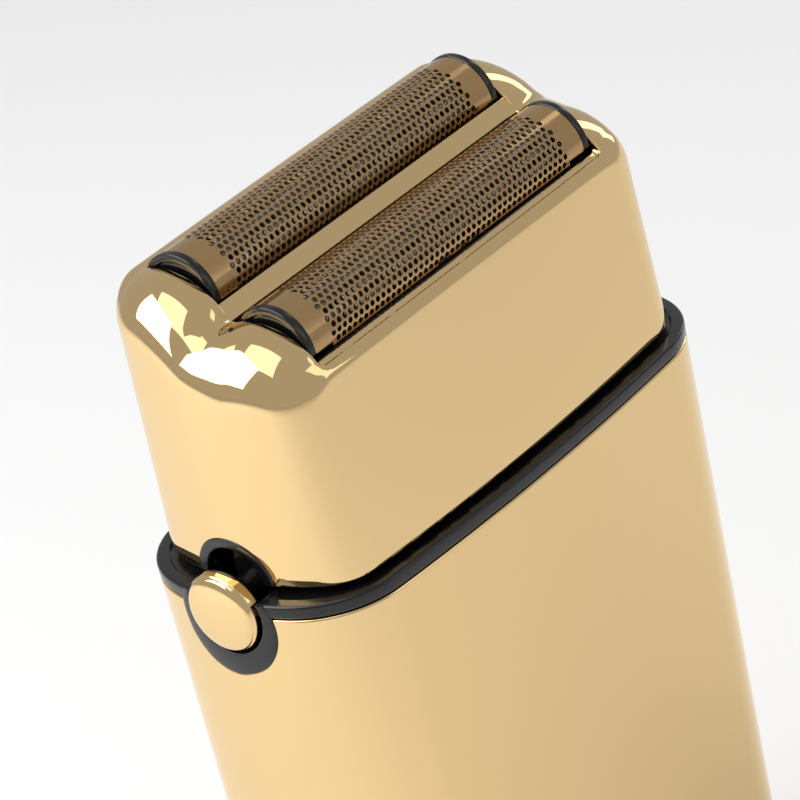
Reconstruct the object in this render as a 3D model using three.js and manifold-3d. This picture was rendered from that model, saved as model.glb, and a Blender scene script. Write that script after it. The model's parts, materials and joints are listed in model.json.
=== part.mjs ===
// Cordless double foil shaver, built as an assembly of separate pieces.
// Millimetres, +Z up. X runs along the foils, the front broad face looks along -Y.
// The shaver stands on its bottom cap: the origin is the middle of that flat face.
import * as THREE from 'three';
import { mergeVertices } from 'three/addons/utils/BufferGeometryUtils.js';
import Module from 'manifold-3d';

const wasm = await Module();
wasm.setup();

// ---------------------------------------------------------------- driving dimensions
const gap = 0.3;                       // play kept between neighbouring pieces
const wall = 1.2;                      // sleeve and housing wall

const seatZ = 80;                      // top of the collar, where the head sits
const collarThick = 1.4;
const bodySection = { halfLength: 31, halfThickness: 14.5, faceRadius: 284, endRadius: 22.5, cornerRadius: 9.4 };
const bodyTaper = 0.0005;              // shrink of the section per millimetre down from the seat

const headBase = { halfLength: 28.5, halfThickness: 12.9, faceRadius: 284, endRadius: 22, cornerRadius: 5.5 };
const headBaseZ = seatZ + 0.6;
const headSlant = THREE.MathUtils.degToRad(20.9);
const headAxisY = 0.25;                // where the slanted foil plane crosses, at foil centre height
const headAxisZ = seatZ + 23.3;
const headEndHalf = 27.7;              // half length of the head just under its end rolls
const frontWall = -11.65;              // slanted positions of the long walls' top corners
const rearWall = 12.1;
const frontRim = -10.95;               // slanted positions of the opening's long edges
const rearRim = 9.9;
const frontRimHeight = 1;              // edge above the foil centres, square to the slant
const rearRimHeight = 0.5;
const humpRadius = 9.2;
const humpHeight = 2.4;
const humpShift = -0.7;                // the humps stand a little in front of the foil centres
const openingHalf = 21.5;
const openingCorner = 0.6;

const foilSpacing = 10.9;
const foilRadius = 4.2;
const foilThick = 0.3;
const foilHalf = 20.3;
const foilSpread = THREE.MathUtils.degToRad(75);
const capRadius = 4.45;
const capFar = 21.2;
const cassetteRails = { front: [[-9.9, -9.35], [-1.7, -1.1]], rear: [[8.8, 9.4]] };
const cutterRadius = 3.6;
const cutterBore = 2.7;
const cutterHalf = 18;

const buttonRadius = 4;
const buttonZ = seatZ - 1.5;
const ringRadius = 5.6;
const ringZ = seatZ - 2.55;
const archRadius = 4.4;
const archZ = seatZ + 0.35;

const motorRadius = 9.5;
const motorBottom = 40;
const motorTop = 71.6;
const crankOffset = 1.2;
const switchZ = 24;

// ---------------------------------------------------------------- materials
function finish(color, roughness, metalness) {
  return new THREE.MeshStandardMaterial({ color, roughness, metalness });
}

const gold = finish(0xd8b25a, 0.08, 1);
const foilGold = finish(0xb08a50, 0.3, 1);
const blackPlastic = finish(0x141416, 0.4, 0);
const darkPlastic = finish(0x2a2b2e, 0.55, 0);
const whitePlastic = finish(0xd9d6cc, 0.5, 0);
const steel = finish(0xb9bbbe, 0.3, 1);
const brass = finish(0xc9a24b, 0.35, 1);
const nickel = finish(0xcfcfc8, 0.35, 1);
const boardGreen = finish(0x1f5a35, 0.5, 0);
const cellWrap = finish(0x2f6fa8, 0.45, 0);
const sealRubber = finish(0x1b1b1c, 0.8, 0);
const lens = finish(0xe8efe8, 0.15, 0);

// ---------------------------------------------------------------- solid helpers
function toSolid(geometry) {
  const bare = new THREE.BufferGeometry();
  bare.setAttribute('position', geometry.getAttribute('position').clone());
  if (geometry.index) bare.setIndex(geometry.index.clone());
  const merged = mergeVertices(bare, 1e-4);
  const index = merged.index.array;
  const kept = [];
  for (let i = 0; i < index.length; i += 3) {
    const [a, b, c] = [index[i], index[i + 1], index[i + 2]];
    if (a !== b && b !== c && c !== a) kept.push(a, b, c);
  }
  return new wasm.Manifold(new wasm.Mesh({
    numProp: 3,
    vertProperties: Float32Array.from(merged.getAttribute('position').array),
    triVerts: Uint32Array.from(kept),
  }));
}

function toGeometry(solid) {
  const mesh = solid.getMesh();
  const geometry = new THREE.BufferGeometry();
  geometry.setAttribute('position', new THREE.BufferAttribute(mesh.vertProperties, 3));
  geometry.setIndex(new THREE.BufferAttribute(mesh.triVerts, 1));
  return geometry;
}

function cut(solid, ...tools) {
  return tools.reduce((rest, tool) => rest.subtract(tool), solid);
}

function join(solid, ...others) {
  return others.reduce((sum, other) => sum.add(other), solid);
}

function box(x0, x1, y0, y1, z0, z1) {
  const geometry = new THREE.BoxGeometry(x1 - x0, y1 - y0, z1 - z0);
  geometry.translate((x0 + x1) / 2, (y0 + y1) / 2, (z0 + z1) / 2);
  return toSolid(geometry);
}

function slantBox(x0, x1, v0, v1, w0, w1) {
  const geometry = new THREE.BoxGeometry(x1 - x0, v1 - v0, w1 - w0);
  geometry.translate((x0 + x1) / 2, (v0 + v1) / 2, (w0 + w1) / 2);
  return toSolid(slanted(geometry));
}

function rod(radius, z0, z1, x = 0, y = 0, sides = 20) {
  const geometry = new THREE.CylinderGeometry(radius, radius, z1 - z0, sides);
  geometry.rotateX(Math.PI / 2);
  geometry.translate(x, y, (z0 + z1) / 2);
  return toSolid(geometry);
}

function rodX(radius, x0, x1, y, z, sides = 28) {
  const geometry = new THREE.CylinderGeometry(radius, radius, x1 - x0, sides);
  geometry.rotateZ(Math.PI / 2);
  geometry.translate((x0 + x1) / 2, y, z);
  return toSolid(geometry);
}

function tube(outer, inner, z0, z1, x = 0, y = 0, sides = 20) {
  return cut(rod(outer, z0, z1, x, y, sides), rod(inner, z0 - 1, z1 + 1, x, y, sides));
}

// Turns a geometry drawn as (x, across, up) about the foil centre plane into the slanted head.
function slanted(geometry) {
  geometry.rotateX(headSlant);
  geometry.translate(0, headAxisY, headAxisZ);
  return geometry;
}

function slantPoint(x, v, w) {
  const y = headAxisY + v * Math.cos(headSlant) - w * Math.sin(headSlant);
  const z = headAxisZ + v * Math.sin(headSlant) + w * Math.cos(headSlant);
  return new THREE.Vector3(x, y, z);
}

// ---------------------------------------------------------------- outlines and lofts
function arcPoints(cx, cy, radius, from, to, steps) {
  const points = [];
  for (let i = 0; i < steps; i += 1) {
    const t = from + (to - from) * i / steps;
    points.push(new THREE.Vector2(cx + radius * Math.cos(t), cy + radius * Math.sin(t)));
  }
  return points;
}

// Crowned rounded rectangle: broad face arc, corner arc and end arc, all tangent, inset evenly.
function outline(section, inset = 0, steps = { face: 3, corner: 4, end: 3 }) {
  const a = section.halfLength - inset;
  const b = section.halfThickness - inset;
  const face = section.faceRadius - inset;
  const end = section.endRadius - inset;
  const corner = Math.max(section.cornerRadius - inset, 0.6);
  const faceCentre = new THREE.Vector2(0, b - face);
  const endCentre = new THREE.Vector2(a - end, 0);
  const reachFace = face - corner;
  const reachEnd = end - corner;
  const apart = faceCentre.distanceTo(endCentre);
  const along = (apart * apart + reachFace * reachFace - reachEnd * reachEnd) / (2 * apart);
  const aside = Math.sqrt(Math.max(reachFace * reachFace - along * along, 0));
  const dir = endCentre.clone().sub(faceCentre).normalize();
  const centre = new THREE.Vector2(
    faceCentre.x + dir.x * along + dir.y * aside,
    faceCentre.y + dir.y * along - dir.x * aside,
  );
  const faceAngle = Math.atan2(centre.y - faceCentre.y, centre.x - faceCentre.x);
  const endAngle = Math.atan2(centre.y - endCentre.y, centre.x - endCentre.x);
  const quarter = [
    ...arcPoints(endCentre.x, 0, end, 0, endAngle, steps.end),
    ...arcPoints(centre.x, centre.y, corner, endAngle, faceAngle, steps.corner),
    ...arcPoints(0, faceCentre.y, face, faceAngle, Math.PI / 2, steps.face),
  ];
  const top = new THREE.Vector2(0, b);
  const tip = new THREE.Vector2(-a, 0);
  const mirrorX = quarter.slice(1).reverse().map((p) => new THREE.Vector2(-p.x, p.y));
  const upper = [...quarter, top, ...mirrorX];
  const lower = [tip, ...upper.slice(1).reverse().map((p) => new THREE.Vector2(p.x, -p.y))];
  return [...upper, ...lower];
}

function ringAt(points, z) {
  return points.map((p) => new THREE.Vector3(p.x, p.y, z));
}

function quads(rings, closed) {
  const count = rings[0].length;
  const faces = [];
  const last = closed ? rings.length : rings.length - 1;
  for (let r = 0; r < last; r += 1) {
    const next = (r + 1) % rings.length;
    for (let i = 0; i < count; i += 1) {
      const j = (i + 1) % count;
      faces.push(r * count + i, r * count + j, next * count + j);
      faces.push(r * count + i, next * count + j, next * count + i);
    }
  }
  return faces;
}

function meshOf(rings, faces) {
  const geometry = new THREE.BufferGeometry();
  const values = rings.flat().flatMap((p) => [p.x, p.y, p.z]);
  geometry.setAttribute('position', new THREE.Float32BufferAttribute(values, 3));
  geometry.setIndex(faces);
  return toSolid(geometry);
}

// Solid through a stack of matching rings, counter-clockwise from above, lowest first.
function loft(rings) {
  const count = rings[0].length;
  const faces = quads(rings, false);
  const caps = THREE.ShapeUtils.triangulateShape(rings[0].map((p) => new THREE.Vector2(p.x, p.y)), []);
  const topStart = (rings.length - 1) * count;
  for (const [a, b, c] of caps) {
    faces.push(a, c, b);
    faces.push(topStart + a, topStart + b, topStart + c);
  }
  return meshOf(rings, faces);
}

// Hollow ring-shaped solid through matching rings that close on themselves.
function loftLoop(rings) {
  return meshOf(rings, quads(rings, true));
}

function prism(section, inset, z0, z1) {
  const points = outline(section, inset);
  return loft([ringAt(points, z0), ringAt(points, z1)]);
}

// The body's section, which narrows evenly towards the bottom.
function bodyRing(z, inset) {
  const scale = 1 - bodyTaper * (seatZ - z);
  return ringAt(outline(bodySection, 0).map((p) => p.clone().multiplyScalar(scale)), z)
    .map((p) => insetPoint(p, inset));
}

function insetPoint(point, inset) {
  const scaleX = (bodySection.halfLength - inset) / bodySection.halfLength;
  const scaleY = (bodySection.halfThickness - inset) / bodySection.halfThickness;
  return new THREE.Vector3(point.x * scaleX, point.y * scaleY, point.z);
}

function bodyLoft(inset, z0, z1) {
  return loft([bodyRing(z0, inset), bodyRing((z0 + z1) / 2, inset), bodyRing(z1, inset)]);
}

// Arched strip drawn across the slant: radius r0 to r1, spread either side, along x.
function arch(inner, outer, spread, x0, x1, across, steps = 14) {
  const shape = new THREE.Shape();
  const at = (radius, t) => [across + radius * Math.sin(t), radius * Math.cos(t)];
  for (let i = 0; i <= steps; i += 1) {
    const [v, w] = at(outer, -spread + 2 * spread * i / steps);
    if (i === 0) shape.moveTo(v, w);
    else shape.lineTo(v, w);
  }
  for (let i = steps; i >= 0; i -= 1) {
    shape.lineTo(...at(inner, -spread + 2 * spread * i / steps));
  }
  return slantExtrude(shape, x0, x1);
}

function slantExtrude(shape, x0, x1) {
  const geometry = new THREE.ExtrudeGeometry(shape, { depth: x1 - x0, bevelEnabled: false });
  geometry.applyMatrix4(new THREE.Matrix4().set(
    0, 0, 1, x0,
    1, 0, 0, 0,
    0, 1, 0, 0,
    0, 0, 0, 1,
  ));
  return toSolid(slanted(geometry));
}

// Half disc that closes the end of an arch.
function archDisc(radius, spread, x0, x1, across, floor, steps = 14) {
  const shape = new THREE.Shape();
  shape.moveTo(across - radius * Math.sin(spread), floor);
  for (let i = 0; i <= steps; i += 1) {
    const t = -spread + 2 * spread * i / steps;
    shape.lineTo(across + radius * Math.sin(t), radius * Math.cos(t));
  }
  shape.lineTo(across + radius * Math.sin(spread), floor);
  return slantExtrude(shape, x0, x1);
}

// ---------------------------------------------------------------- body
const sleeveBottom = 1;
const sleeveTop = seatZ - collarThick - gap;

function bodySleeve() {
  const shell = cut(
    bodyLoft(0, sleeveBottom, sleeveTop),
    bodyLoft(wall, sleeveBottom - 1, sleeveTop + 1),
  );
  const rings = [-1, 1].map((side) => rodX(ringRadius + gap, Math.min(side * 24, side * 34),
    Math.max(side * 24, side * 34), 0, ringZ));
  const switchSlot = box(-2.6, 2.6, -16, -10, switchZ - 4.6, switchZ + 4.6);
  const lightHole = box(-1.3, 1.3, -16, -10, switchZ - 12.3, switchZ - 9.7);
  return cut(shell, ...rings, switchSlot, lightHole);
}

const collarInset = 6.2;
const skirtInset = wall + gap;

function collar() {
  const flange = cut(
    bodyLoft(0, seatZ - collarThick, seatZ),
    prism(bodySection, collarInset, seatZ - 6, seatZ + 1),
  );
  const skirt = cut(
    bodyLoft(skirtInset, seatZ - 6, seatZ - collarThick + 0.1),
    bodyLoft(skirtInset + 1.1, seatZ - 7, seatZ - collarThick + 1),
  );
  const keyholes = [-1, 1].map((side) => {
    const disc = rodX(ringRadius, Math.min(side * 27.6, side * 34), Math.max(side * 27.6, side * 34), 0, ringZ);
    return disc.intersect(bodyLoft(0, seatZ - 12, seatZ));
  });
  const bores = [-1, 1].map((side) => rodX(buttonRadius + gap + 0.05, Math.min(side * 20, side * 34),
    Math.max(side * 20, side * 34), 0, buttonZ));
  return cut(join(flange, skirt, ...keyholes), ...bores);
}

const capRim = 0.8;
const capScrewX = 17;

function bottomCap() {
  const plate = bodyLoft(capRim, 0, sleeveBottom - gap);
  const plug = bodyLoft(wall + gap, sleeveBottom - gap - 0.1, 5);
  const hollow = bodyLoft(wall + gap + 1.4, 2.4, 6);
  const socketHole = rod(4.4 + gap, -1, 6);
  const screwHoles = [-1, 1].flatMap((side) => [
    rod(1.3, -1, 6, side * capScrewX, 0),
    rod(2.4 + gap, -1, 1.6, side * capScrewX, 0),
  ]);
  const bosses = [-1, 1].map((side) => rod(3, 2.3, 5, side * capScrewX, 0));
  return cut(join(cut(join(plate, plug), hollow), ...bosses), socketHole, ...screwHoles);
}

// Countersunk-style screw, head down when the flag is set, with a cross recess in the head.
function screw(x, y, headZ, headUp, length, headRadius = 2.4, shankRadius = 1) {
  const way = headUp ? -1 : 1;
  const headFar = headZ + way * 1.1;
  const tip = headZ + way * length;
  const head = rod(headRadius, Math.min(headZ, headFar), Math.max(headZ, headFar), x, y, 16);
  const shank = rod(shankRadius, Math.min(headFar - way * 0.1, tip), Math.max(headFar - way * 0.1, tip), x, y, 12);
  const depth = headZ + way * 0.6;
  const z0 = Math.min(headZ - way, depth);
  const z1 = Math.max(headZ - way, depth);
  const recess = join(box(x - 1.4, x + 1.4, y - 0.3, y + 0.3, z0, z1), box(x - 0.3, x + 0.3, y - 1.4, y + 1.4, z0, z1));
  return cut(join(head, shank), recess);
}

// ---------------------------------------------------------------- power pack
const socketRadius = 4.4;

function chargingSocket() {
  const barrel = cut(rod(socketRadius, 0.5, 13, 0, 0, 24), rod(3.3, 0, 11.4, 0, 0, 24));
  return cut(barrel, rod(1 + gap, 11, 14));
}

function socketPin() {
  return join(rod(1, 5.8, 15.5, 0, 0, 16), rod(0.6, 5.3, 5.9, 0, 0, 16));
}

const cellX = 18.5;
const cellY = 1;
const cellRadius = 7;

function batteryCell() {
  return join(rod(cellRadius, 9, 57, cellX, cellY, 24), rod(2.4, 56.9, 58, cellX, cellY, 16));
}

function batteryTab(z0, z1) {
  return join(
    box(cellX - 3, cellX + 3, cellY - 3, cellY + 3, z0, z1),
    box(cellX - 8, cellX - 2.9, cellY - 1.5, cellY + 1.5, z0, z1),
  );
}

const boardBack = -6.4;
const boardFront = -8;

function circuitBoard() {
  const plate = box(-24, 9, boardFront, boardBack, 14, 36);
  const ear = box(-20, -12, boardFront, boardBack, 35.9, 46);
  const holes = [-21, 6].map((x) => {
    const bore = new THREE.CylinderGeometry(1.1, 1.1, 6, 12);
    bore.translate(x, -7, 33.5);
    return toSolid(bore);
  });
  return cut(join(plate, ear), ...holes);
}

function switchBody() {
  const can = box(-4, 4, boardFront - gap - 2.2, boardFront - gap, switchZ - 5, switchZ + 5);
  return cut(can, box(-1.6, 1.6, -12, boardFront - gap - 1, switchZ - 3.6, switchZ + 3.6));
}

const faceY = -14.1;                   // outer face of the sleeve near the switch
const sliderTravel = 3;

function powerSlider() {
  const low = switchZ - sliderTravel / 2;
  const thumb = box(-2.2, 2.2, faceY - 0.3, faceY + 0.8, low - 2.4, low + 2.4);
  const grooves = [-1.4, 0, 1.4].map((dz) => box(-3, 3, faceY - 1, faceY + 0.05, low + dz - 0.25, low + dz + 0.25));
  const stem = box(-1.2, 1.2, faceY + 0.7, -9.6, low - 1.2, low + 1.2);
  return cut(join(thumb, stem), ...grooves);
}

function sliderBezel() {
  const frame = box(-4.2, 4.2, faceY + 1.6, faceY + 2.2, switchZ - 6.4, switchZ + 6.4);
  const stub = box(-3.2, 3.2, faceY + 1.55, faceY + 2.2, switchZ - 5.4, switchZ + 5.4);
  return cut(join(frame, stub), box(-1.6, 1.6, -16, -9, switchZ - 3.2, switchZ + 3.2));
}

function chargeLight() {
  const z = switchZ - 11;
  return join(
    box(-1, 1, faceY + 0.05, faceY + 1.7, z - 1, z + 1),
    box(-1.7, 1.7, faceY + 1.6, faceY + 2.4, z - 1.7, z + 1.7),
  );
}

// ---------------------------------------------------------------- chassis and motor
const shelfZ = 72;
const shelfThick = 2.2;
const shaftRadius = 1;
const motorScrewX = 6;
const deckCorners = [[-17.5, -4.6], [17.5, -4.6], [-17.5, 4.6], [17.5, 4.6]];

function chassis() {
  const bottom = box(-30, 30, -8, 11.6, 5.3, 7.5);
  const back = box(-21, 21, 10, 11.6, 7.4, shelfZ + 0.1);
  const ribs = [[14, 12, 26], [50, -22, 26], [66, -12, 12]].map(([z, x0, x1]) => box(x0, x1, -9, 10.1, z, z + 2));
  const shelf = box(-19.7, 19.7, -8, 11.6, shelfZ, shelfZ + shelfThick);
  const motorBore = rod(motorRadius + gap, motorBottom - 4, shelfZ - 0.2, 0, 0, 28);
  const cellBore = rod(cellRadius + gap, 8, 60, cellX, cellY, 24);
  const shaftBore = rod(3.4, 70, 76);
  const socketBore = rod(socketRadius + gap, 4, 9, 0, 0, 24);
  const capScrewHoles = [-1, 1].map((side) => rod(1.3, 4, 9, side * capScrewX, 0, 12));
  const motorHoles = [-1, 1].map((side) => rod(1.1, 70, 76, side * motorScrewX, 0, 12));
  const deckHoles = deckCorners.map(([x, y]) => rod(1.3, 70, 76, x, y, 12));
  const inside = bodyLoft(skirtInset + 1.1 + gap, 4, seatZ - 2);
  const frame = join(bottom, back, ...ribs, shelf).intersect(inside);
  return cut(frame, motorBore, cellBore, shaftBore, socketBore, ...capScrewHoles, ...motorHoles, ...deckHoles);
}

function motorCan() {
  const can = rod(motorRadius, motorBottom, motorTop, 0, 0, 28);
  const boss = rod(3, motorTop - 0.1, motorTop + 1.4);
  const inside = rod(motorRadius - 0.8, motorBottom - 1, motorTop - 1, 0, 0, 28);
  const shaftBore = rod(shaftRadius + gap, motorTop - 3, motorTop + 3);
  const screwBores = [-1, 1].map((side) => rod(1.3, motorTop - 2, motorTop + 2, side * motorScrewX, 0, 12));
  return cut(join(can, boss), inside, shaftBore, ...screwBores);
}

function motorEndBell() {
  const plate = rod(motorRadius, motorBottom - 2.4, motorBottom - gap, 0, 0, 28);
  const spigot = rod(motorRadius - 1.2, motorBottom - gap - 0.1, motorBottom + 2, 0, 0, 28);
  const bush = rod(2.4, motorBottom - 3.6, motorBottom - 2.3);
  return cut(join(plate, spigot, bush), rod(shaftRadius + gap, motorBottom - 5, motorBottom + 3));
}

function motorShaft() {
  const armature = rod(5.6, 46, 64, 0, 0, 12);
  return join(rod(shaftRadius, motorBottom - 3, seatZ - 3.2, 0, 0, 14), armature);
}

const crankBottom = 74.9;

function eccentric() {
  const hub = rod(3, crankBottom, seatZ - 2.2, 0, 0, 24);
  const pin = rod(1, seatZ - 2.3, seatZ + 6.6, crankOffset, 0, 14);
  return cut(join(hub, pin), rod(shaftRadius + gap, crankBottom - 1, seatZ - 2.9, 0, 0, 14));
}

function eccentricRoller() {
  return tube(2, 1 + gap, seatZ + 3.4, seatZ + 6.3, crankOffset, 0, 20);
}

// ---------------------------------------------------------------- deck
const deckInset = collarInset + gap;
const deckTop = seatZ + 0.2;

function deckPlate() {
  const plate = prism(bodySection, deckInset, seatZ - 2, deckTop);
  const legs = deckCorners.map(([x, y]) => rod(2.3, shelfZ + shelfThick + gap, seatZ - 1.9, x, y, 16));
  const rails = [-7.2, 6.4].map((y) => box(-13, 13, y, y + 0.8, deckTop - 0.1, bridgeBottom - gap));
  const springStops = [-19.7, 18.9].map((x) => box(x, x + 0.8, -2, 2, shelfZ + shelfThick + gap, seatZ - 1.9));
  const holes = deckCorners.flatMap(([x, y]) => [
    rod(1.3, 70, 84, x, y, 12),
    rod(2.4 + gap, deckTop - 1.2, 84, x, y, 16),
  ]);
  const sealSeat = rod(6.4, deckTop - 1, deckTop + 1, 0, 0, 24);
  return cut(join(plate, ...legs, ...rails, ...springStops), ...holes, rod(4, 70, 84, 0, 0, 24), sealSeat);
}

function deckSeal() {
  const foot = tube(6.1, 4.2, deckTop - 0.8, deckTop + 0.8, 0, 0, 24);
  const lip = tube(5, 4.2, deckTop + 0.7, deckTop + 1.8, 0, 0, 24);
  return join(foot, lip);
}

// ---------------------------------------------------------------- drive bridge and cutters
const bridgeBottom = seatZ + 3;
const bridgeTop = seatZ + 6;
const holderDrop = 3.2;                // flat underside of a cutter holder below its foil centre
const postRadius = 1;
const cutterSpread = THREE.MathUtils.degToRad(58);
const drives = [
  { name: 'front', across: -foilSpacing / 2, postY: -5.2 },
  { name: 'rear', across: foilSpacing / 2, postY: 5.9 },
];

function holderFloor(drive) {
  return slantPoint(0, drive.across, 0).z - holderDrop;
}

function driveBridge() {
  const plate = box(-14, 14, -7.6, 9.1, bridgeBottom, bridgeTop);
  const slot = box(-4.7, 4.7, -3.5, 3.5, bridgeBottom - 1, bridgeTop + 1);
  const windows = [-11.6, 6.6].map((x) => box(x, x + 5, -2, 4, bridgeBottom - 1, bridgeTop + 1));
  const posts = drives.map((drive) => rod(postRadius, bridgeTop - 0.1, holderFloor(drive) + 1.4, 0, drive.postY, 16));
  return cut(join(plate, ...posts), slot, ...windows);
}

function cutterSpring(drive) {
  return tube(2.1, 1.4, bridgeTop + gap, holderFloor(drive) - gap, 0, drive.postY, 18);
}

function cutterBlade(drive) {
  const across = drive.across;
  const shell = arch(cutterBore, cutterRadius, cutterSpread, -cutterHalf, cutterHalf, across, 10);
  const slots = [];
  for (let i = -8; i <= 8; i += 1) {
    slots.push(slantBox(i * 2 - 0.4, i * 2 + 0.4, across - 5, across + 5, 2.2, 5));
  }
  const spine = slantBox(-cutterHalf, cutterHalf, across - 0.6, across + 0.6, 2, 2.9);
  return join(cut(shell, ...slots), spine);
}

function cutterHolder(drive) {
  const across = drive.across;
  const centre = slantPoint(0, across, 0);
  const low = holderFloor(drive);
  const core = slantBox(-16, 16, across - 1.8, across + 1.8, -6, 1.6);
  const room = box(-20, 20, centre.y - 2.7, centre.y + 2.7, low, low + 20);
  const pad = box(-4, 4, drive.postY - 2.1, drive.postY + 2.1, low, low + 2.4);
  const pocket = rod(postRadius + gap + 0.2, low - 1, low + 2.6, 0, drive.postY + 0.1, 16);
  return cut(join(core.intersect(room), pad), pocket);
}

// ---------------------------------------------------------------- foils
function foil({ across }) {
  return arch(foilRadius - foilThick, foilRadius, foilSpread, -foilHalf, foilHalf, across);
}

function foilCassette(drive) {
  const across = drive.across;
  const floor = 0;
  const spread = THREE.MathUtils.degToRad(66);
  const ends = [-1, 1].map((side) => {
    const x0 = side > 0 ? foilHalf + gap : -capFar;
    const disc = archDisc(capRadius, spread, x0, x0 + capFar - foilHalf - gap, across, floor);
    const dish = archDisc(capRadius - 0.9, spread, side > 0 ? capFar - 0.3 : -capFar - 1,
      side > 0 ? capFar + 1 : 0.3 - capFar, across, floor + 0.8);
    return cut(disc, dish);
  });
  const rails = cassetteRails[drive.name].map(([v0, v1]) => slantBox(-capFar + 0.2, capFar - 0.2, v0, v1, floor, 0.7));
  return join(ends[0], ends[1], ...rails);
}

// ---------------------------------------------------------------- head
// Height of the top edge across the slant: a hump over each foil and a dip between them.
function topEdge(v) {
  const fromHump = Math.abs(Math.abs(v - humpShift) - foilSpacing / 2);
  const drop = humpRadius - Math.sqrt(Math.max(humpRadius ** 2 - fromHump ** 2, 0));
  const share = THREE.MathUtils.clamp((v - frontRim) / (rearRim - frontRim), 0, 1);
  return Math.max(humpHeight - drop, THREE.MathUtils.lerp(frontRimHeight, rearRimHeight, share));
}

function slantRing(halfLength, front, rear, cornerRadius, endRadius, drop) {
  const middle = (rear + front) / 2;
  const section = {
    halfLength,
    halfThickness: (rear - front) / 2,
    faceRadius: 6000,
    endRadius,
    cornerRadius,
  };
  return outline(section).map((p) => slantPoint(p.x, p.y + middle, topEdge(p.y + middle) - drop));
}

// Moves each point of a ring square to the ring, inwards in plan.
function insetRing(ring, distance, drop = 0) {
  return ring.map((p, i) => {
    const before = ring[(i + ring.length - 1) % ring.length];
    const after = ring[(i + 1) % ring.length];
    const along = new THREE.Vector2(after.x - before.x, after.y - before.y).normalize();
    return new THREE.Vector3(p.x - along.y * distance, p.y + along.x * distance, p.z - drop);
  });
}

function mixRings(from, to, share) {
  return from.map((p, i) => p.clone().lerp(to[i], share));
}

function bezier(a, b, c, d, t) {
  const s = 1 - t;
  return new THREE.Vector3()
    .addScaledVector(a, s * s * s)
    .addScaledVector(b, 3 * s * s * t)
    .addScaledVector(c, 3 * s * t * t)
    .addScaledVector(d, t * t * t);
}

const endRound = 5.5;                  // corner radius of the head seen from above
const wallTop = slantRing(headEndHalf, frontWall, rearWall, endRound, 30, 0);
const openingEdge = slantRing(openingHalf, frontRim, rearRim, openingCorner, 400, 0);
const wallBase = ringAt(outline(headBase), headBaseZ);
const rollStart = wallTop.map((top, i) => {
  const reach = Math.hypot(top.x - openingEdge[i].x, top.y - openingEdge[i].y);
  return top.clone().add(wallBase[i].clone().sub(top).setLength(reach * 0.92));
});

function headHousing() {
  const pull = 0.5523;                 // handle length that makes a cubic curve a quarter circle
  const rings = [wallBase, rollStart];
  for (const t of [0.25, 0.5, 0.75]) {
    rings.push(wallTop.map((top, i) => bezier(
      rollStart[i],
      rollStart[i].clone().lerp(top, pull),
      openingEdge[i].clone().lerp(top, pull),
      openingEdge[i],
      t,
    )));
  }
  rings.push(openingEdge, slantRing(openingHalf, frontRim, rearRim, openingCorner, 400, 1.1));
  rings.push(insetRing(rollStart, 0.7, 1), insetRing(wallBase, wall));
  const bar = slantBox(-openingHalf - 1.4, openingHalf + 1.4, -0.7, 1, 0, 1.6);
  return cut(join(loftLoop(rings), bar), ...archCutters(archRadius, 18));
}

function archCutters(radius, nearX) {
  return [rodX(radius, -34, -nearX, 0, archZ), rodX(radius, nearX, 34, 0, archZ)];
}

function headLiner() {
  const high = mixRings(wallBase, rollStart, 0.42);
  const low = wallBase;
  const outer = wall + gap + 0.1;
  const band = loftLoop([
    insetRing(low, outer), insetRing(high, outer),
    insetRing(high, outer + 1.1), insetRing(low, outer + 1.1),
  ]);
  const lipRadius = archRadius - gap;
  const lips = [rodX(lipRadius, -28.4, -26.2, 0, archZ), rodX(lipRadius, 26.2, 28.4, 0, archZ)];
  const tongueRoom = [-26.95, 23].map((x) => box(x, x + 3.95, -2.2, 2.2, seatZ - 1, seatZ + 4.6));
  const below = box(-40, 40, -20, 20, seatZ - 8, headBaseZ);
  return cut(join(band, ...lips), ...archCutters(lipRadius - 1.1, 20), ...tongueRoom, below);
}

// ---------------------------------------------------------------- release buttons
const buttonFace = 31.9;
const buttonBack = 29.6;
const buttonTravel = 1;

function releaseButton(side) {
  const profile = [
    [0, buttonBack], [buttonRadius, buttonBack], [buttonRadius, buttonFace - 0.3], [buttonRadius - 0.25, buttonFace],
    [buttonRadius - 0.5, buttonFace - 0.15], [buttonRadius - 0.8, buttonFace - 0.6],
    [2.4, buttonFace - 0.25], [1.2, buttonFace - 0.08], [0, buttonFace],
  ].map(([r, h]) => new THREE.Vector2(r, h));
  const cap = new THREE.LatheGeometry(profile, 28);
  cap.rotateZ(-side * Math.PI / 2);
  cap.translate(0, 0, buttonZ);
  const span = (x0, x1) => [Math.min(side * x0, side * x1), Math.max(side * x0, side * x1)];
  const stem = rodX(1.6, ...span(26, buttonBack + 0.1), 0, buttonZ, 16);
  const keeper = box(...span(25.8, 26.6), -4.6, 4.6, seatZ - 5.4, seatZ - collarThick - gap - 0.1);
  const tongue = box(...span(25.8, 26.6), -1.6, 1.6, seatZ - 2, seatZ + 4);
  return join(toSolid(cap), stem, keeper, tongue);
}

function buttonSpring(side) {
  const x0 = side > 0 ? 20.1 : -24.5;
  const z = seatZ - 4.6;
  return cut(rodX(2.1, x0, x0 + 4.4, 0, z, 16), rodX(1.4, x0 - 1, x0 + 5.4, 0, z, 16));
}

// ---------------------------------------------------------------- assembly
const shaver = new THREE.Group();

function add(name, solid, material) {
  const mesh = new THREE.Mesh(toGeometry(solid), material);
  mesh.name = name;
  shaver.add(mesh);
}

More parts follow.
